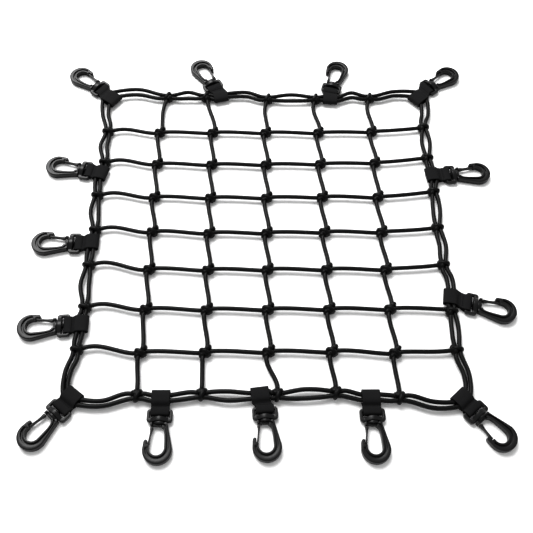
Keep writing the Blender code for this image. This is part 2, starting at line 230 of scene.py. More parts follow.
class Finish:
    # one material and its nodes
    def __init__(self, name, sockets):
        self.material = bpy.data.materials.new(name)
        self.material.use_nodes = True
        self.tree = self.material.node_tree
        self.shader = self.tree.nodes["Principled BSDF"]
        for label, value in sockets.items():
            self.shader.inputs[label].default_value = value

    def node(self, kind, settings, values, output=0):
        made = self.tree.nodes.new(kind)
        for name, value in settings.items():
            setattr(made, name, value)
        items = values.items() if isinstance(values, dict) else enumerate(values)
        for place, value in items:
            if isinstance(value, Wire):
                self.tree.links.new(value.socket, made.inputs[place])
            else:
                made.inputs[place].default_value = value
        return Wire(self, made.outputs[output])

    def math(self, operation, *values):
        return self.node("ShaderNodeMath", {"operation": operation}, values)

    def place(self):
        return self.node("ShaderNodeTexCoord", {}, [], "Object")

    def uv(self, name):
        return self.node("ShaderNodeUVMap", {"uv_map": name}, [])

    def split(self, vector):
        parts = self.node("ShaderNodeSeparateXYZ", {}, [vector])
        outputs = parts.socket.node.outputs
        return [Wire(self, outputs[i]) for i in range(3)]

    def noise(self, scale, detail=2.0):
        return self.node("ShaderNodeTexNoise", {},
                         {"Vector": self.place(), "Scale": scale, "Detail": detail})

    def blend(self, factor, first, second):
        # colour from first to second
        return self.node("ShaderNodeMix", {"data_type": "RGBA"},
                         {0: factor, 6: (*first, 1), 7: (*second, 1)}, 2)

    def bump(self, height, distance, under=None):
        values = {"Height": height, "Distance": distance}
        if under:
            values["Normal"] = under
        return self.node("ShaderNodeBump", {}, values)

    def feed(self, label, wire):
        self.tree.links.new(wire.socket, self.shader.inputs[label])


cordLook = {
    # valley and crown colours: painted shade in the braid's valleys, painted light on its crowns
    "shadedValley": (0.0015, 0.0015, 0.0016), "litCrown": (0.0045, 0.0045, 0.0047),
    "roughness": 0.42, "ior": 1.22,
    "strands": 12,         # pairs of strands round the sheath
    "braid": 2.4,          # mm along the cord for one strand to pass the next
    "relief": 0.0001, "fuzz": 0.00003, "fuzzScale": 3000.0,
    "cloudScale": 90.0, "cloudShare": 0.4,
    "cloudRoughness": 0.2, "braidShine": 0.08,
}


def cordFinish():
    # braided sheath: two sets of strands that wind round the cord and cross; its colour is painted
    # darker in the valleys between strands (painted shade) and lighter on their crowns (painted light)
    look = cordLook
    finish = Finish("braidedCord", {"Roughness": look["roughness"], "IOR": look["ior"]})
    along, around, _ = finish.split(finish.uv("cordUv"))
    turn = around * (2 * math.pi * look["strands"])
    climb = along * (2 * math.pi / look["braid"])
    left = (turn + climb).sin()
    right = (turn - climb).sin()
    braid = left.max(right) * 0.5 + 0.5
    cloud = finish.noise(look["cloudScale"])
    shade = braid * (1 - look["cloudShare"]) + cloud * look["cloudShare"]
    # base colour follows the braid, mixed with random cloud: painted shade in its valleys, painted light
    # on its crowns
    finish.feed("Base Color", finish.blend(shade, look["shadedValley"], look["litCrown"]))
    finish.feed("Roughness", look["roughness"] + (cloud - 0.5) * look["cloudRoughness"]
                - braid * look["braidShine"])
    fuzz = finish.bump(finish.noise(look["fuzzScale"]), look["fuzz"])
    finish.feed("Normal", finish.bump(braid, look["relief"], fuzz))
    return finish.material


webLook = {
    # valley and crown colours: painted shade in the weave's hollows, painted light on its ribs and yarns
    "shadedValley": (0.0006, 0.0006, 0.0006), "litCrown": (0.017, 0.017, 0.0178),
    "roughness": 0.75, "ior": 1.18,
    "rib": 1.25,           # mm between ribs along the strap
    "yarn": 1.15,          # mm between yarns across it
    "relief": 0.00025,
    "cloudScale": 160.0, "cloudShare": 0.25, "cloudRoughness": 0.15,
    "thread": (0.006, 0.006, 0.0063),
}


def webFinish():
    # flat woven strap: ribs across it, each crossed by fine lengthwise yarns; its colour is painted
    # darker in the hollows of the weave (painted shade) and lighter on its tops (painted light)
    look = webLook
    finish = Finish("wovenStrap", {"Roughness": look["roughness"], "IOR": look["ior"]})
    along, across, _ = finish.split(finish.uv("webUv"))
    rib = ((along / look["rib"]).fract() * math.pi).sin()
    yarn = ((across / look["yarn"]).fract() * math.pi).sin()
    weave = rib * 0.5 + yarn * 0.5
    cloud = finish.noise(look["cloudScale"], 3.0)
    shade = weave * (1 - look["cloudShare"]) + cloud * look["cloudShare"]
    # base colour follows the weave, mixed with random cloud: painted shade in its hollows, painted light
    # on its tops
    finish.feed("Base Color", finish.blend(shade, look["shadedValley"], look["litCrown"]))
    finish.feed("Roughness", look["roughness"] + (cloud - 0.5) * look["cloudRoughness"])
    finish.feed("Normal", finish.bump(weave, look["relief"]))
    return finish.material


def threadFinish():
    look = webLook
    return Finish("thread", {"Roughness": look["roughness"], "IOR": look["ior"],
                             "Base Color": (*look["thread"], 1)}).material


plasticLook = {
    "deep": (0.004, 0.004, 0.0042), "worn": (0.009, 0.009, 0.0095),
    "roughness": 0.32, "ior": 1.32,
    "flowScale": 70.0, "flowRoughness": 0.16,
    "grainScale": 5200.0, "grainRoughness": 0.05, "grain": 0.000005,
}


def plasticFinish():
    # moulded plastic with a fine spark-eroded grain and slow flow marks
    look = plasticLook
    finish = Finish("mouldedPlastic", {"Roughness": look["roughness"], "IOR": look["ior"]})
    flow = finish.noise(look["flowScale"], 3.0)
    grain = finish.noise(look["grainScale"], 1.0)
    finish.feed("Base Color", finish.blend(flow, look["deep"], look["worn"]))
    finish.feed("Roughness", look["roughness"] + (flow - 0.5) * look["flowRoughness"]
                + (grain - 0.5) * look["grainRoughness"])
    finish.feed("Normal", finish.bump(grain, look["grain"]))
    return finish.material


cameraSizes = {
    "place": (-0.01615, -0.48977, 0.75449),
    "down": 59.527,        # degrees below the horizon
    "yaw": 1.969, "roll": 1.564,
    "focal": 714.91,       # in widths of one pixel of a 533-pixel picture
    "frame": 533,
    "sensor": 36.0, "nearest": 0.01,
}


def addCamera():
    sizes = cameraSizes
    down, yaw, roll = (math.radians(sizes[name]) for name in ("down", "yaw", "roll"))
    ahead = Vector((math.sin(yaw) * math.cos(down), math.cos(yaw) * math.cos(down), -math.sin(down)))
    level = ahead.cross(Vector((0, 0, 1))).normalized()
    upright = level.cross(ahead)
    right = level * math.cos(roll) + upright * math.sin(roll)
    up = upright * math.cos(roll) - level * math.sin(roll)
    data = bpy.data.cameras.new("camera")
    data.sensor_width = sizes["sensor"]
    data.lens = sizes["focal"] / sizes["frame"] * data.sensor_width
    data.clip_start = sizes["nearest"]
    camera = addObject("camera", data)
    turn = Matrix((right, up, -ahead)).transposed().to_4x4()
    turn.translation = Vector(sizes["place"])
    camera.matrix_world = turn
    bpy.context.scene.camera = camera


studio = {
    "floorSize": 12.0, "floorShade": 0.92, "floorRoughness": 0.85,
    "floorDrop": 0.0002,   # below the net, so that the two don't flicker
    "surround": 0.72, "gamma": 0.82,
    "keyPower": 160.0, "keySize": 2.3, "keyFrom": (-0.78, 1.67, 2.36),
}


def addLight(name, place, size, power):
    data = bpy.data.lights.new(name, "AREA")
    data.shape = "DISK"
    data.size = size
    data.energy = power
    lamp = addObject(name, data)
    lamp.location = place
    lamp.rotation_euler = (-Vector(place)).to_track_quat("-Z", "Y").to_euler()


def addStudio():
    sizes = studio
    deselect()
    bpy.ops.mesh.primitive_plane_add(size=sizes["floorSize"], location=(0, 0, -sizes["floorDrop"]))
    floor = bpy.context.object
    floor.name = "floor"
    bpy.ops.object.transform_apply(location=True, rotation=True, scale=True)
    paper = Finish("whitePaper", {"Roughness": sizes["floorRoughness"],
                                  "Base Color": (*[sizes["floorShade"]] * 3, 1)})
    floor.data.materials.append(paper.material)
    world = bpy.data.worlds.new("surround")
    world.use_nodes = True
    background = world.node_tree.nodes["Background"].inputs
    background["Color"].default_value = (1, 1, 1, 1)
    background["Strength"].default_value = sizes["surround"]
    bpy.context.scene.world = world
    addLight("key", sizes["keyFrom"], sizes["keySize"], sizes["keyPower"])
    bpy.context.scene.view_settings.view_transform = "Standard"
    bpy.context.scene.view_settings.gamma = sizes["gamma"]


# the net's lay: knots and straps as in the solids, the border cords up to 1.5 mm off theirs

netSizes = {
    "radius": 2.65, "height": 6.0,
    "sag": 1.0, "bow": 0.8,    # lengthwise spans sag, crosswise ones bow away from the near side
    "columns": 5, "rows": 7, "pitchX": 72.0, "pitchY": 54.0,
    "innerSocket": 7.2,    # how far out a cord leaves an inner knot
    "innerSkew": 1.2,      # cords leave higher on the right and lower on the left
    "innerLean": 2.6,      # and further right at the far end than at the near end
    "borderSocket": 6.5,   # along the border
    "borderRoot": 8.6,     # inwards, where the inner cord leaves a border knot
    "pairHalf": 2.9,       # half the distance between the border cords in a knot
    "pairSplay": 10.0,     # degrees by which they turn apart
    "pairShares": (-0.6, -0.2, 0.2, 0.6), "pairSqueeze": (0.86, 0.3),  # how a knot pulls them together
    "knotShares": (-0.55, 0.0, 0.55), "crossDrop": 1.6, "lengthDrop": 1.2,   # inner cords in their knots
    "tail": 4.5, "tailDrop": 0.5,   # how an inner cord ends in a border knot
    "step": 3.0, "sides": 16,
}

# inner knots that lie a little off the even grid: (column, row): (x, y)
knotNudge = {
    (5, 1): (1, 2), (5, 2): (1, 2), (1, 4): (1, 1), (1, 5): (1, 1), (1, 6): (1, 1),
    (1, 7): (-1, 0), (2, 2): (0, -1), (3, 2): (0, -1), (2, 3): (0, -1), (3, 3): (0, -1),
    (2, 4): (0, -1), (3, 4): (0, -1), (5, 7): (0, -2),
}

# the border, anticlockwise, as (along, distance out): knots at the middle of both
# cords, swings as (along, outer cord, inner cord); root and way of the inner cords
border = (
    {
        "side": "near", "travel": (1, 0), "root": (0, 0), "way": (0, -1), "slant": 1.0,
        "knots": ((-145, 214), (-74, 213), (9.5, 214), (74, 212), (144, 218)),
        "swings": ((-182, 225, 219), (-45, 219.5, 209), (40, 217.5, 207), (180, 229.5, 222)),
        "straps": ("near_1", "near_2", "near_3"), "corner": "near_right",
    },
    {
        "side": "right", "travel": (0, 1), "root": (0, -1.4), "way": (0.98, 0.2), "slant": 0.3,
        "knots": ((-160, 216), (-111, 217), (-47, 216), (7, 216), (63, 218), (119, 217), (172, 218)),
        "swings": ((-190, 224.5, 218.5), (-133, 221, 213), (-66, 223, 216), (-20, 222, 214),
                   (35, 222, 213), (146, 223, 212), (196, 227, 218)),
        "straps": ("right_1", "right_2"), "corner": "far_right",
    },
    {
        "side": "far", "travel": (-1, 0), "root": (-2.2, 0), "way": (-0.4, -0.92), "slant": 1.0,
        "knots": ((147, 227), (71, 225), (4, 225), (-83, 228), (-136, 228)),
        "swings": ((182, 238.5, 230.5), (122, 236, 227), (37, 232, 220.5), (-26, 236.5, 228.5),
                   (-108, 236.5, 224.5), (-178, 241.5, 231.5)),
        "straps": ("far_2", "far_1"), "corner": "far_left",
    },
    {
        "side": "left", "travel": (0, -1), "root": (0, 1.8), "way": (0.95, 0.31), "slant": 0.4,
        "knots": ((164, 215), (111, 214), (57, 218), (4, 215), (-47, 217), (-104, 215), (-158, 218)),
        "swings": ((195, 225, 217), (138, 222, 213), (31, 223, 213), (-75, 223, 213),
                   (-185, 226.5, 220.5)),
        "straps": ("left_1", "left_2", "left_3"), "corner": "near_left",
    },
)

# two knots that a strap crowds: their inner cord leaves straighter
straightRoots = {("far", 4): ((2.2, 0), (0.1, -1)), ("right", 2): ((0, 2.2), (1, 0))}

# each strap's sewn waist as its cord loop has it: x, y, heading, and extra length
strapWaists = {
    "near_left": (-221.5, -221.7, 232, 0), "near_1": (-118.4, -225.7, 270, 0),
    "near_2": (-8.6, -222.6, 277, 0), "near_3": (112, -226.3, 270, 0),
    "near_right": (218.8, -225.9, 311, 0), "right_1": (227.3, -94.4, 350, 0),
    "right_2": (228.8, 91, 6, 0), "far_right": (226, 234.9, 43, 6),
    "far_2": (92.6, 234, 85, 0), "far_1": (-65, 238, 104, 0),
    "far_left": (-226.2, 232, 143, 6), "left_1": (-225.9, 95, 166, 0),
    "left_2": (-226, -14.4, 180, 0), "left_3": (-226, -126.5, 181, 0),
}

# where the outer and inner cords cross a strap, back from its waist
strapCrossing = {"side": (-6.2, -12.8), "corner": (-4.9, -11.0), "cornerEdge": (-6.1, -13.2)}


def heading(degrees):
    return Vector((math.cos(math.radians(degrees)), math.sin(math.radians(degrees)), 0))


def fromStrap(name, along, aside):
    x, y, turn, _ = strapWaists[name]
    return Vector((x, y, netSizes["height"])) + along * heading(turn) + aside * heading(turn + 90)


def sidePoint(travel, along, out):
    ahead = Vector((*travel, 0))
    outward = Vector((travel[1], -travel[0], 0))
    base = Vector((abs(ahead.x) * along, abs(ahead.y) * along, netSizes["height"]))
    return base + out * outward


def smoothLine(points, firstWay, lastWay, step):
    # points a short step apart on a smooth curve through the given ones
    line = [points[0].copy()]
    last = len(points) - 1
    for i in range(last):
        start, end = points[i], points[i + 1]
        length = (end - start).length
        leave = firstWay if i == 0 else (end - points[i - 1]).normalized()
        arrive = lastWay if i == last - 1 else (points[i + 2] - start).normalized()
        count = max(1, round(length / step))
        for k in range(1, count + 1):
            t = k / count
            line.append((2 * t**3 - 3 * t**2 + 1) * start + (t**3 - 2 * t**2 + t) * length * leave
                        + (3 * t**2 - 2 * t**3) * end + (t**3 - t**2) * length * arrive)
    return line


def curvePoint(before, start, end, after, t):
    # a place between start and end on a smooth curve that also runs through their neighbours
    return 0.5 * (2 * start + (end - before) * t
                  + (2 * before - 5 * start + 4 * end - after) * t**2
                  + (3 * start - before - 3 * end + after) * t**3)


def roundLine(points, perSpan):
    # a closed smooth curve through the given points
    line = []
    count = len(points)
    for i in range(count):
        near = [points[(i + k) % count] for k in (-1, 0, 1, 2)]
        line += [curvePoint(*near, k / perSpan) for k in range(perSpan)]
    return line


class Cords:
    # round cords in one mesh, with a map that runs along and round each of them
    def __init__(self):
        self.bm = bmesh.new()
        self.uv = self.bm.loops.layers.uv.new("cordUv")

    def add(self, line, radius, sides, closed=False):
        count = len(line)
        ways = []
        for i in range(count):
            before = line[i - 1] if i or closed else line[0]
            after = line[(i + 1) % count] if i < count - 1 or closed else line[-1]
            ways.append((after - before).normalized())
        across = ways[0].cross(Vector((0, 0, 1)))
        if across.length < 0.1:
            across = ways[0].cross(Vector((1, 0, 0)))
        frames = [across.normalized()]
        for i in range(1, count + closed):
            turn = ways[i - 1].rotation_difference(ways[i % count])
            frames.append((turn @ frames[-1]).normalized())
        twist = 0.0
        if closed:     # spread what is left over, so that the ends meet
            side = ways[0].cross(frames[0])
            twist = math.atan2(frames[-1].dot(side), frames[-1].dot(frames[0]))
        rings = []
        lengths = [0.0]
        for i in range(count):
            angle = -twist * i / count
            side = ways[i].cross(frames[i])
            base = frames[i] * math.cos(angle) + side * math.sin(angle)
            up = ways[i].cross(base)
            ring = []
            for k in range(sides):
                turn = 2 * math.pi * k / sides
                spoke = math.cos(turn) * base + math.sin(turn) * up
                ring.append(self.bm.verts.new(line[i] + radius * spoke))
            rings.append(ring)
            lengths.append(lengths[-1] + (line[(i + 1) % count] - line[i]).length)
        for i in range(count if closed else count - 1):
            j = (i + 1) % count
            for k in range(sides):
                m = (k + 1) % sides
                places = [(lengths[a], b / sides)
                          for a, b in ((i, k), (i, k + 1), (i + 1, k + 1), (i + 1, k))]
                corners = (rings[i][k], rings[i][m], rings[j][m], rings[j][k])
                addFace(self.bm, self.uv, corners, places).smooth = True
        if not closed:
            self.bm.faces.new(list(reversed(rings[0])))
            self.bm.faces.new(rings[-1])

    def finish(self, name, material):
        bmesh.ops.recalc_face_normals(self.bm, faces=self.bm.faces)
        piece = addPiece(name, self.bm, material)
        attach(piece, "net")
        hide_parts("net")


def strapPairs(name, middlePair, edgePair):
    # both border cords inside a strap's loop, from its right edge to its left
    slack = strapWaists[name][3]
    half = strapSizes["width"] / 2
    return [(fromStrap(name, outer, aside), fromStrap(name, inner - slack, aside))
            for aside, (outer, inner) in ((-half, edgePair), (0, middlePair), (half, edgePair))]


def borderStations():
    # knots, swings and straps in order round the border
    stations = []
    for side in border:
        travel = side["travel"]
        ahead = Vector((*travel, 0))
        outward = Vector((travel[1], -travel[0], 0))
        found = []
        for along, out in side["knots"]:
            centre = sidePoint(travel, along, out)
            found.append((centre.dot(ahead), {"centre": centre, "ahead": ahead, "outward": outward,
                                              "slant": side["slant"]}))
        for along, outer, inner in side["swings"]:
            pair = (sidePoint(travel, along, outer), sidePoint(travel, along, inner))
            found.append((pair[0].dot(ahead), {"pairs": [pair]}))
        for name in side["straps"]:
            pairs = strapPairs(name, strapCrossing["side"], strapCrossing["side"])
            found.append((pairs[1][0].dot(ahead), {"pairs": pairs}))
        found.sort(key=lambda item: item[0])
        stations += [station for _, station in found]
        pairs = strapPairs(side["corner"], strapCrossing["corner"], strapCrossing["cornerEdge"])
        stations.append({"pairs": pairs})
    return stations


def borderLines():
    # the two border cords, each a closed line that runs through every knot
    sizes = netSizes
    stations = borderStations()
    first = next(i for i, station in enumerate(stations) if "centre" in station)
    stations = stations[first:] + stations[:first] + [stations[first]]
    lines = [[], []]
    start, between = stations[0], []
    splay = math.tan(math.radians(sizes["pairSplay"]))
    tight, widen = sizes["pairSqueeze"]
    for station in stations[1:]:
        if "pairs" in station:
            between += station["pairs"]
            continue
        for lane, sign in enumerate((1, -1)):
            leave = (start["ahead"] + sign * splay * start["outward"]).normalized()
            arrive = (station["ahead"] - sign * splay * station["outward"]).normalized()
            out = sign * sizes["pairHalf"]
            points = [start["centre"] + sizes["borderSocket"] * start["ahead"] + out * start["outward"]]
            points += [pair[lane] for pair in between]
            points.append(station["centre"] - sizes["borderSocket"] * station["ahead"]
                          + out * station["outward"])
            lines[lane] += smoothLine(points, leave, arrive, sizes["step"])
            # through the knot, where its wraps pull the two cords together
            for share in sizes["pairShares"]:
                squeeze = out * (tight + widen * share**2)
                lines[lane].append(station["centre"] + share * sizes["borderSocket"] * station["ahead"]
                                   + squeeze * station["outward"])
        start, between = station, []
    return lines


def knotCentre(column, row):
    sizes = netSizes
    nudge = knotNudge.get((column, row), (0, 0))
    return Vector((sizes["pitchX"] * (column - (sizes["columns"] + 1) / 2) + nudge[0],
                   sizes["pitchY"] * ((sizes["rows"] + 1) / 2 - row) + nudge[1], sizes["height"]))


def borderRoot(sideName, number):
    # where an inner cord leaves a border knot, and its way into the net
    side = next(side for side in border if side["side"] == sideName)
    along, out = side["knots"][number - 1]
    travel = side["travel"]
    inward = Vector((-travel[1], travel[0], 0))
    shift, way = straightRoots.get((sideName, number), (side["root"], side["way"]))
    root = sidePoint(travel, along, out) + netSizes["borderRoot"] * inward + Vector((*shift, 0))
    return root, Vector((*way, 0)).normalized(), inward


def span(points, firstWay, lastWay, swing):
    line = smoothLine(points, firstWay, lastWay, netSizes["step"])
    for i, point in enumerate(line):
        t = i / (len(line) - 1)
        point += 4 * t * (1 - t) * Vector(swing)
    return line


def innerLine(roots, centres, ahead, out, swing, drop):
    # one cord from border to border through its knots
    sizes = netSizes
    (start, leave, _), (end, arrive, _) = roots
    first, last = (root - sizes["tail"] * inward + Vector((0, 0, -sizes["tailDrop"]))
                   for root, _, inward in roots)
    line = [first] + span([start, centres[0] - out], leave, ahead, swing)
    for i, centre in enumerate(centres):
        line += [centre + share * out + Vector((0, 0, -drop)) for share in sizes["knotShares"]]
        if i < len(centres) - 1:
            line += span([centre + out, centres[i + 1] - out], ahead, ahead, swing)
    return line + span([centres[-1] + out, end], ahead, arrive, swing) + [last]


def crossLine(row):
    # from the left border to the right
    sizes = netSizes
    roots = (borderRoot("left", row), borderRoot("right", sizes["rows"] + 1 - row))
    centres = [knotCentre(column, row) for column in range(1, sizes["columns"] + 1)]
    out = Vector((sizes["innerSocket"], sizes["innerSkew"], 0))
    return innerLine(roots, centres, Vector((1, 0, 0)), out, (0, sizes["bow"], 0), sizes["crossDrop"])


def lengthLine(column):
    # from the far border to the near one
    sizes = netSizes
    roots = (borderRoot("far", sizes["columns"] + 1 - column), borderRoot("near", column))
    centres = [knotCentre(column, row) for row in range(1, sizes["rows"] + 1)]
    out = Vector((-sizes["innerLean"], -sizes["innerSocket"], 0))
    return innerLine(roots, centres, Vector((0, -1, 0)), out, (0, 0, -sizes["sag"]),
                     sizes["lengthDrop"])


wrapSizes = {"radius": 2.55, "sides": 14, "perSpan": 4, "loose": 0.25}

# an inner knot's wraps, as (x, y, z) about the knot, z up from the floor
innerKnot = {
    "over": ((-4.5, 2.1, 5.2), (-3.6, 1.9, 8.6), (0.1, 0.2, 10.1), (3.6, -1.9, 8.8),
             (4.7, -2.7, 5.4), (3.2, -2.0, 2.9), (0, 0, 2.9), (-3.2, 1.6, 2.9)),
    "beside": ((-4.2, -0.6, 4.8), (-2.8, -1.0, 7.0), (-0.2, -2.0, 8.0), (1.9, -3.1, 7.0),
               (2.9, -3.6, 4.8), (1.8, -2.8, 2.9), (-1.2, -1.4, 2.9), (-3.4, -0.4, 2.9)),
    "under": ((5.1, 5.4, 5.4), (5.0, 5.7, 8.5), (3.0, 4.0, 9.5), (-0.4, -0.4, 7.0),
              (-3.6, -3.4, 6.8), (-4.6, -4.8, 4.8), (-2.4, -2.6, 2.9), (2.6, 2.6, 2.9)),
}

# a border knot's wraps, as (along, outward, z): one over both border cords, one
# round their inner side, with the inner cord between its shoulders
borderKnot = {
    "over": ((-1.2, 4.9, 5.6), (-0.9, 4.0, 8.9), (-0.1, 1.2, 10.0), (1.4, -2.0, 9.9),
             (3.2, -4.6, 8.4), (4.0, -5.6, 5.2), (2.4, -3.6, 2.75), (0.2, 0.0, 2.75),
             (-1.0, 3.2, 2.75)),
    "shoulder": ((-4.0, -5.0, 4.2), (-4.0, -4.0, 7.2), (-1.8, -2.6, 8.4), (1.2, -3.2, 8.0),
                 (3.4, -4.6, 6.4), (3.6, -4.8, 3.8), (1.6, -3.8, 2.75), (-1.8, -3.6, 2.75)),
    "inside": ((-2.2, -5.9, 4.6), (-1.6, -5.2, 7.2), (0.4, -4.4, 8.0), (2.6, -5.0, 6.6),
               (2.8, -5.8, 4.4), (0.6, -5.2, 2.8)),
}


def tieKnot(cords, wraps, centre, ahead, outward, slant=1.0):
    # closed wraps, each point a little off its place; only the one on top is slanted
    sizes = wrapSizes
    loose = sizes["loose"]
    for wrap, path in wraps.items():
        lean = slant if wrap == "over" else 1
        points = []
        for along, out, up in path:
            along = along * lean + random.uniform(-loose, loose)
            out += random.uniform(-loose, loose)
            points.append(Vector((centre.x, centre.y, up)) + along * ahead + out * outward)
        cords.add(roundLine(points, sizes["perSpan"]), sizes["radius"], sizes["sides"], closed=True)


def addNet(finish):
    sizes = netSizes
    cords = Cords()
    for line in borderLines():
        cords.add(line, sizes["radius"], sizes["sides"], closed=True)
    cords.finish("border_cords", finish)
    cords = Cords()
    for column in range(1, sizes["columns"] + 1):
        cords.add(lengthLine(column), sizes["radius"], sizes["sides"])
    for row in range(1, sizes["rows"] + 1):
        cords.add(crossLine(row), sizes["radius"], sizes["sides"])
    cords.finish("inner_cords", finish)
    right, away = Vector((1, 0, 0)), Vector((0, 1, 0))
    cords = Cords()
    for column in range(1, sizes["columns"] + 1):
        for row in range(1, sizes["rows"] + 1):
            tieKnot(cords, innerKnot, knotCentre(column, row), right, away)
    cords.finish("inner_knots", finish)
    cords = Cords()
    for station in borderStations():
        if "centre" in station:
            tieKnot(cords, borderKnot, station["centre"], station["ahead"], station["outward"],
                    station["slant"])
    cords.finish("border_knots", finish)
    print("net tied")


strapSizes = {
    "width": 20.0, "thick": 1.3, "edge": 0.35, "step": 0.7, "lanes": 10,
    "eyeReach": 19.0,      # from the waist to the swivel joint
    "blendHalf": 2.5,      # how far either side of the waist it turns to the other loop's heading
    "slackFrom": -7.0, "slackRun": 6.0,   # extra length goes in between the two border cords
    # the folded strap's middle, side on: (along its heading, up), from its hidden
    # end round the border cords, over to the eye's bar and back under the waist
    "fold": ((2.4, 4.6), (1.0, 4.4), (0, 4.35), (-1.6, 4.0), (-3.6, 2.7), (-6.0, 2.15), (-9.8, 2.1),
             (-13.4, 2.2), (-16.6, 3.4), (-18.05, 6.0), (-16.8, 8.7), (-13.6, 9.8), (-9.8, 10.0),
             (-6.0, 9.8), (-3.6, 8.9), (-1.7, 7.0), (0, 5.9), (1.5, 6.7), (3.2, 7.3), (7.2, 7.3),
             (9.3, 6.3), (9.9, 4.0), (9.3, 1.8), (7.2, 0.85), (3.2, 0.85), (1.4, 2.2), (0, 3.05),
             (-1.8, 2.3), (-4.0, 1.0), (-7.0, 0.8)),
}


def openLine(points, step):
    # points a short step apart on a smooth curve through the given ones, in a plane
    line = [points[0]]
    for i in range(len(points) - 1):
        start, end = points[i], points[i + 1]
        before = points[i - 1] if i else start
        after = points[i + 2] if i + 2 < len(points) else end
        count = max(1, round((end - start).length / step))
        line += [curvePoint(before, start, end, after, k / count) for k in range(1, count + 1)]
    return line


def eyePlace(name):
    # the eye's own place and heading, from its swivel
    joint = next(joint for joint in frame["joints"] if joint["name"] == f"swivel_{name}")
    axis = Vector(joint["axis"])
    return Vector(joint["pos_m"]) / mm, math.degrees(math.atan2(axis.y, axis.x))


def strapPoint(name, along, aside, up):
    # a place on the strap: its cord loop and its bar loop have headings of their own
    x, y, cordTurn, _ = strapWaists[name]
    eye, barTurn = eyePlace(name)
    bar = Vector((eye.x, eye.y, 0)) - strapSizes["eyeReach"] * heading(barTurn)
    ends = []
    for origin, turn in ((Vector((x, y, 0)), cordTurn), (bar, barTurn)):
        ends.append(origin + along * heading(turn) + aside * heading(turn + 90))
    half = strapSizes["blendHalf"]
    share = min(max((along + half) / (2 * half), 0), 1)
    share = share * share * (3 - 2 * share)
    return ends[0].lerp(ends[1], share) + Vector((0, 0, up))


def addStrap(name, finish):
    sizes = strapSizes
    slack = strapWaists[name][3]
    points = []
    for along, up in sizes["fold"]:
        back = min(max((sizes["slackFrom"] - along) / sizes["slackRun"], 0), 1)
        points.append(Vector((along - slack * back, up, 0)))
    line = openLine(points, sizes["step"])
    bm = bmesh.new()
    uv = bm.loops.layers.uv.new("webUv")
    rows = []
    lengths = [0.0]
    for i, point in enumerate(line):
        rows.append([])
        for lane in range(sizes["lanes"] + 1):
            aside = sizes["width"] * (lane / sizes["lanes"] - 0.5)
            rows[-1].append(bm.verts.new(strapPoint(name, point.x, aside, point.y)))
        if i:
            lengths.append(lengths[-1] + (point - line[i - 1]).length)
    for i in range(len(rows) - 1):
        for lane in range(sizes["lanes"]):
            corners = (rows[i][lane], rows[i][lane + 1], rows[i + 1][lane + 1], rows[i + 1][lane])
            places = [(lengths[a], sizes["width"] * b / sizes["lanes"])
                      for a, b in ((i, lane), (i, lane + 1), (i + 1, lane + 1), (i + 1, lane))]
            addFace(bm, uv, corners, places)
    piece = addPiece(f"web_{name}", bm, finish)
    addModifier(piece, "SOLIDIFY", thickness=sizes["thick"] * mm, offset=0)
    easeEdges(piece, sizes["edge"] * mm, 2, 60)
    applyModifiers(piece)
    smooth(piece, 50)
    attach(piece, "net")
    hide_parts(f"strap_{name}")


stitchSizes = {
    "long": 1.7, "wide": 0.8, "gap": 0.8, "ease": 0.16, "inset": 1.6,
    "rows": ((-1.1, 6.85), (1.0, 7.05)),   # along the strap from its waist, and up
}


def stitchModel():
    # one stitch: a short thread that dips into the webbing at both ends
    sizes = stitchSizes
    deselect()
    bpy.ops.mesh.primitive_cylinder_add(vertices=6, radius=sizes["wide"] / 2, depth=sizes["long"],
                                        location=(0, 0, 0), rotation=(math.pi / 2, 0, 0))
    stitch = bpy.context.object
    startEdit(stitch)
    selectAll()
    bpy.ops.mesh.bevel(offset=sizes["ease"], segments=1, affect="EDGES")
    endEdit()
    bpy.ops.object.transform_apply(location=True, rotation=True, scale=True)
    smooth(stitch, 60)
    return stitch


def addStitches(name, model, finish):
    # rows of stitches across the waist, seen on top
    sizes = stitchSizes
    pitch = sizes["long"] + sizes["gap"]
    count = int((strapSizes["width"] - 2 * sizes["inset"]) / pitch)
    stitches = []
    for along, up in sizes["rows"]:
        for i in range(count):
            aside = (i - (count - 1) / 2) * pitch
            place = strapPoint(name, along, aside, up)
            ahead = strapPoint(name, along, aside + 1, up) - place
            turn = math.atan2(ahead.y, ahead.x) - math.pi / 2
            mesh = model.data.copy()
            mesh.transform(Matrix.Translation(place) @ Matrix.Rotation(turn, 4, "Z"))
            stitches.append(addObject("stitch", mesh))
    seam = joinPieces(f"stitches_{name}", stitches)
    seam.data.transform(Matrix.Scale(mm, 4))
    seam.data.materials.clear()
    seam.data.materials.append(finish)
    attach(seam, "net")


# eye, hook and gate are drawn in the hook's own frame: +X along it from the
# swivel joint, z from its axis

eyeSizes = {
    "back": -16.0, "front": -1.3, "half": 14.0, "thick": 4.6, "corner": 3.4, "arm": 3.3,
    "strapBar": 3.8, "swivelBar": 5.2, "edge": 0.9,
    # the crowned band over the swivel: how it swells from its ends to its middle
    "bandEnd": 11.0, "bandStations": 24, "bandSwell": 9.5, "bandBack": (-6.1, -7.3),
    "bandFront": (-1.4, -2.0),
    "bandTop": (2.2, 6.4), "bandUnder": (2.2, 3.9), "bandEdge": 1.1,
    "pocket": (-2.1, 7.0),     # how deep and how wide the collar sits in it
    "bore": 2.6, "boreBack": -10.0, "cutFront": 2.0,
    "reach": 0.05,             # how far from its place a point of the slot may lie
}

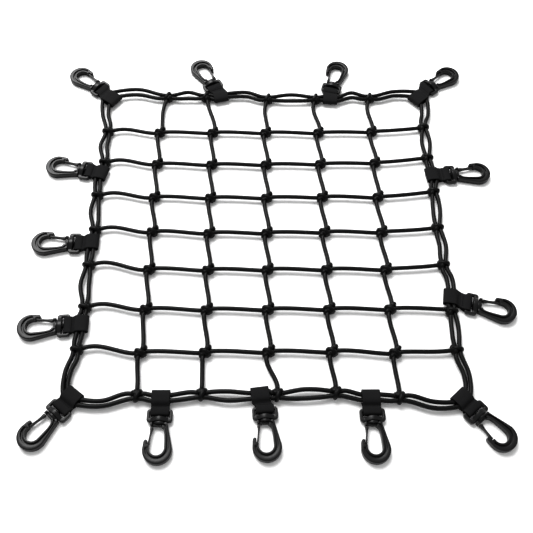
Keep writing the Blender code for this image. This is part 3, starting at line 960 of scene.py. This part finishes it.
hookSizes = {
    "thick": 8.0, "webDrop": 2.4,
    "radius": 15.8, "centre": (28.5, 0.0),
    "throatRadius": 8.2, "throatCentre": (26.5, 0.8),
    "rim": 2.2, "grooveStart": 2.7, "grooveBend": 2.4, "grooveDepth": 2.4, "wallLean": 0.25,
    "rimDrop": 0.2,
    # the groove widens over so many stations, from some before the bend; in a
    # narrow place, groove and rim take no more than these shares
    "grooveRun": 12, "grooveLead": 4, "grooveShare": 0.3, "rimShare": 0.36,
    # outer and inner edge of the web over the throat, then of the spine, which
    # starts where the groove does
    "web": (((-0.6, 9.0), (3.0, 9.2)), ((-0.6, 7.4), (3.0, 7.4)), ((-0.6, 6.0), (3.0, 5.9)),
            ((-0.6, 5.0), (3.05, 5.0)), ((-0.6, 3.9), (3.15, 4.0)), ((-0.6, 2.4), (3.25, 2.6)),
            ((-0.6, 0.8), (3.3, 1.0)), ((-0.6, -1.4), (3.4, -0.7)), ((-0.6, -3.8), (3.65, -2.1)),
            ((-0.6, -6.4), (4.15, -3.3)), ((-0.4, -8.6), (4.95, -4.4))),
    "lowWeb": 6.1,         # how far from the axis the web lies lower
    "spine": (((1.6, -9.75), (6.2, -5.3)), ((4.2, -10.3), (7.8, -5.9)), ((7.4, -11.05), (9.9, -6.3)),
              ((11.2, -12.0), (12.8, -6.72)), ((16.0, -13.14), (17.0, -7.0)),
              ((21.0, -14.38), (21.5, -7.22))),
    "bendFrom": -100.0, "bendTo": 100.0, "bendSteps": 34, "throatFrom": -96.0,
    "noseBase": ((23.6, 15.4), (23.4, 9.4)),
    # outer and inner edge of the lip that closes over the gate's tip
    "lip": (((21.5, 15.25), (21.2, 11.15)), ((19.9, 15.0), (19.7, 10.95)), ((18.8, 14.5), (18.7, 11.2)),
            ((18.1, 13.6), (18.1, 12.1))),
    "edge": 0.3, "outerEdge": 1.3,
    "collarFace": -1.9, "collarEnd": 0.9, "collarHalf": 6.5, "collarTop": 5.4, "collarEdge": 0.7,
    "post": 2.0, "postBack": -7.8, "postEnd": -0.5,
    "head": 3.0, "headBack": -8.3, "headFace": -7.6, "headEdge": 0.3,
}

gateSizes = {
    "thick": 5.0, "pivot": (4.7, 7.8),
    # throat side and outer side of the tongue, from its round root to its tip
    "edges": (((-1.35, -0.5), (-1.35, 0.5)), ((-1.0, -1.3), (-0.95, 1.1)), ((0.2, -1.9), (0.0, 1.4)),
              ((1.6, -1.75), (1.6, 1.3)), ((3.2, -1.2), (3.2, 1.15)), ((5.4, -0.6), (5.4, 1.15)),
              ((8.4, -0.05), (8.4, 1.45)), ((11.6, 0.35), (11.6, 1.95)), ((14.8, 0.7), (14.8, 2.45)),
              ((17.2, 0.95), (17.2, 2.9)), ((18.2, 1.25), (18.2, 2.85))),
    "edge": 0.35,
}


def laneChain(outer, inner, shares):
    outer, inner = Vector((*outer, 0)), Vector((*inner, 0))
    return [outer.lerp(inner, share) for share in shares]


def extrudeChain(old, new):
    # extrudes the chain of edges at old and carries its points to new
    lift = Vector((0, 0, 1))
    pick("EDGE", lambda e: all(isAt(v.co, old) for v in e.verts))
    bpy.ops.mesh.extrude_region_move(TRANSFORM_OT_translate={"value": lift})
    for start, end in zip(old, new):
        pick("VERT", lambda v: isAt(v.co, [start + lift]))
        move(*(end - start - lift))


def startStrip(chains):
    # a row of faces between the first two chains
    lanes = len(chains[0]) - 1
    deselect()
    bpy.ops.mesh.primitive_grid_add(x_subdivisions=lanes, y_subdivisions=1, size=2)
    strip = bpy.context.object
    startEdit(strip)
    for row, chain in enumerate(chains[:2]):
        for lane, target in enumerate(chain):
            place = Vector((2 * lane / lanes - 1, 2 * row - 1, 0))
            pick("VERT", lambda v: isAt(v.co, [place]))
            move(*(target - place + Vector((0, 0, 50))))
    selectAll()
    move(z=-50)
    for old, new in zip(chains[1:], chains[2:]):
        extrudeChain(old, new)
    return strip


def raiseStrip(strip, height):
    # gives the flat strip its upper half; the mirror modifier adds the lower one
    selectAll()
    bpy.ops.mesh.extrude_region_move(TRANSFORM_OT_translate={"value": (0, 0, height)})
    selectAll()
    bpy.ops.mesh.normals_make_consistent(inside=False)
    pick("FACE", lambda f: all(abs(v.co.z) < 0.01 for v in f.verts))
    bpy.ops.mesh.delete(type="FACE")


def hookChains():
    # outer edge, both edges of the groove, and inner edge, station by station
    sizes = hookSizes
    pairs = list(sizes["web"]) + list(sizes["spine"])
    first = len(pairs)
    for i in range(sizes["bendSteps"] + 1):
        share = i / sizes["bendSteps"]
        turn = between((sizes["bendFrom"], sizes["bendTo"]), share)
        inTurn = between((sizes["throatFrom"], sizes["bendTo"]), share)
        (x, y), (tx, ty) = sizes["centre"], sizes["throatCentre"]
        outer = Vector((x, y, 0)) + sizes["radius"] * heading(turn)
        inner = Vector((tx, ty, 0)) + sizes["throatRadius"] * heading(inTurn)
        pairs.append((outer.xy, inner.xy))
    pairs.append(sizes["noseBase"])
    chains = []
    for i, (outer, inner) in enumerate(pairs):
        wide = (Vector(outer) - Vector(inner)).length
        share = min(max((i - first + sizes["grooveLead"]) / sizes["grooveRun"], 0), 1)
        groove = between((sizes["grooveStart"], sizes["grooveBend"]), share)
        groove = min(groove, wide * sizes["grooveShare"])
        rim = min(sizes["rim"], wide * sizes["rimShare"])
        chains.append(laneChain(outer, inner, (0, 1 - (rim + groove) / wide, 1 - rim / wide, 1)))
    return chains


def rodPiece(radius, start, end, sides, squash=1.0, rim=0.0, steps=3):
    # a round bar along X, its ends' rims eased
    deselect()
    bpy.ops.mesh.primitive_cylinder_add(vertices=sides, radius=radius, depth=end - start,
                                        location=((start + end) / 2, 0, 0), rotation=(0, math.pi / 2, 0))
    rod = bpy.context.object
    bpy.ops.object.transform_apply(location=True, rotation=True, scale=True)
    startEdit(rod)
    selectAll()
    bpy.ops.transform.resize(value=(1, squash, 1))
    if rim:
        pick("EDGE", lambda e: abs(e.verts[0].co.x - e.verts[1].co.x) < 0.001)
        bpy.ops.mesh.bevel(offset=rim, segments=steps, affect="EDGES")
    endEdit()
    return rod


def hookModel(side):
    # side is 1 or -1: its collar stands up on the side that the hook lies with on top
    sizes = hookSizes
    chains = hookChains()
    strip = startStrip(chains)
    # the lip that closes over the gate's tip: only the outer band goes on
    base = chains[-1][:3]
    lips = [laneChain(outer, inner, (0, 0.5, 1)) for outer, inner in sizes["lip"]]
    for old, new in zip([base] + lips, lips):
        extrudeChain(old, new)
    top = sizes["thick"] / 2
    raiseStrip(strip, top)
    # the groove between the outer band and the rim
    places = []
    spine = len(sizes["web"])
    for old, new in zip(chains[spine - 2:-3], chains[spine - 1:-2]):
        places.append((old[1] + old[2] + new[1] + new[2]) / 4 + Vector((0, 0, top)))
    pick("FACE", lambda f: isAt(middle(f), places, 0.05))
    bpy.ops.mesh.inset(thickness=sizes["wallLean"], depth=-sizes["grooveDepth"])
    # the rim stands a little lower than the band
    rims = [point + Vector((0, 0, top)) for chain in chains[spine:-2] for point in chain[2:]]
    pick("VERT", lambda v: isAt(v.co, rims))
    move(z=-sizes["rimDrop"])
    # the web over the throat lies lower than both
    webs = [point.xy for chain in chains[:spine - 1] for point in chain
            if abs(chain[0].y) < sizes["lowWeb"]]
    pick("VERT", lambda v: v.co.z > 1 and isAt(v.co.xy, webs))
    move(z=-sizes["webDrop"])
    # round off the outer edge of the band
    outers = [chain[0] + Vector((0, 0, top)) for chain in chains[spine:] + lips]
    pick("EDGE", lambda e: all(isAt(v.co, outers) for v in e.verts))
    bpy.ops.mesh.bevel(offset=sizes["outerEdge"], segments=4, affect="EDGES")
    endEdit()
    mirrorDown(strip)
    easeEdges(strip, sizes["edge"], 2, 38)
    applyModifiers(strip)
    collar = rodPiece(top, sizes["collarFace"], sizes["collarEnd"], 44, sizes["collarHalf"] / top,
                      sizes["collarEdge"], 5)
    startEdit(collar)
    pick("VERT", lambda v: v.co.z * side > 0.01)
    bpy.ops.transform.resize(value=(1, 1, sizes["collarTop"] / top), center_override=(0, 0, 0))
    endEdit()
    post = rodPiece(sizes["post"], sizes["postBack"], sizes["postEnd"], 20)
    head = rodPiece(sizes["head"], sizes["headBack"], sizes["headFace"], 24, rim=sizes["headEdge"])
    hook = joinPieces("hook_model", [strip, collar, post, head])
    smooth(hook, 40)
    return hook


def gateModel():
    sizes = gateSizes
    chains = [[Vector((*outer, 0)), Vector((*inner, 0))] for inner, outer in sizes["edges"]]
    gate = startStrip(chains)
    raiseStrip(gate, sizes["thick"] / 2)
    endEdit()
    mirrorDown(gate)
    easeEdges(gate, sizes["edge"], 3, 38)
    applyModifiers(gate)
    smooth(gate, 40)
    return gate


def bandPiece():
    # the thick middle of the swivel bar, drawn along y and swollen towards its middle
    sizes = eyeSizes
    swells = []
    chains = []
    for i in range(sizes["bandStations"] + 1):
        y = sizes["bandEnd"] * (2 * i / sizes["bandStations"] - 1)
        swell = math.cos(math.pi / 2 * min(abs(y) / sizes["bandSwell"], 1))
        swells.append((y, swell))
        back, front = between(sizes["bandBack"], swell), between(sizes["bandFront"], swell)
        chains.append([Vector((back, y, 0)), Vector(((back + front) / 2, y, 0)), Vector((front, y, 0))])
    band = startStrip(chains)
    raiseStrip(band, 1)
    endEdit()
    mirrorDown(band)
    applyModifiers(band)
    startEdit(band)
    for side, heights in ((1, sizes["bandTop"]), (-1, sizes["bandUnder"])):
        for y, swell in swells:
            pick("VERT", lambda v: abs(v.co.y - y) < 0.01 and v.co.z * side > 0.5)
            move(z=side * (between(heights, swell) - 1))
    endEdit()
    easeEdges(band, sizes["bandEdge"], 5, 50)
    applyModifiers(band)
    return band


def eyeModel():
    sizes = eyeSizes
    deselect()
    bpy.ops.mesh.primitive_plane_add(size=1, location=(0, 0, 0))
    ring = bpy.context.object
    startEdit(ring)
    long = sizes["front"] - sizes["back"]
    centre = (sizes["front"] + sizes["back"]) / 2
    bpy.ops.transform.resize(value=(long, 2 * sizes["half"], 1))
    move(x=centre)
    bpy.ops.mesh.bevel(offset=sizes["corner"], segments=6, affect="VERTICES")
    selectAll()
    bpy.ops.mesh.inset(thickness=sizes["arm"])
    # the slot's two long sides go to the strap's bar and to the swivel bar
    halfLong, halfWide = long / 2 - sizes["arm"], sizes["half"] - sizes["arm"]
    reach = sizes["reach"]
    inside = lambda v: abs(v.co.y) < halfWide + reach and abs(v.co.x - centre) < halfLong + reach
    pick("VERT", lambda v: inside(v) and v.co.x < centre)
    move(x=sizes["strapBar"] - sizes["arm"])
    pick("VERT", lambda v: inside(v) and v.co.x > centre)
    move(x=sizes["arm"] - sizes["swivelBar"])
    pick("FACE", lambda f: isAt(middle(f), [Vector((centre, 0, 0))], 1.5))
    bpy.ops.mesh.delete(type="FACE")
    raiseStrip(ring, sizes["thick"] / 2)
    endEdit()
    mirrorDown(ring)
    easeEdges(ring, sizes["edge"], 4, 50)
    applyModifiers(ring)
    band = bandPiece()
    depth, half = sizes["pocket"]
    for solid in (ring, band):
        cutOut(solid, rodPiece(half, depth, sizes["cutFront"], 48))
        cutOut(solid, rodPiece(sizes["bore"], sizes["boreBack"], sizes["cutFront"], 24))
    eye = joinPieces("eye_model", [ring, band])
    smooth(eye, 40)
    return eye


def addHookSets(web, thread, plastic):
    eye, gate, stitch = eyeModel(), gateModel(), stitchModel()
    hooks = {side: hookModel(side) for side in (1, -1)}
    print("eye, hook and gate modelled")
    pivotPlace = Matrix.Translation(Vector((*gateSizes["pivot"], 0)) * mm)
    for name in strapWaists:
        place, turn = eyePlace(name)
        joint = next(joint for joint in frame["joints"] if joint["name"] == f"gate_{name}_hinge")
        lie = Matrix.Translation(place * mm) @ Matrix.Rotation(math.radians(turn), 4, "Z")
        side = -1 if joint["axis"][2] > 0 else 1
        flip = Matrix.Rotation(math.pi if side < 0 else 0, 4, "X")
        for kind, model, matrix, body in (
                ("eye", eye, lie, "net"), ("hook", hooks[side], lie @ flip, f"hook_{name}"),
                ("gate", gate, lie @ flip @ pivotPlace, f"gate_{name}")):
            piece = copyTo(f"{kind}_moulding_{name}", model, matrix, plastic)
            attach(piece, body)
            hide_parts(f"{kind}_{name}")
        addStrap(name, web)
        addStitches(name, stitch, thread)
    for model in (eye, gate, stitch, *hooks.values()):
        bpy.data.objects.remove(model)
    print("straps and hooks in place")


addCamera()
addStudio()
addNet(cordFinish())
addHookSets(webFinish(), threadFinish(), plasticFinish())
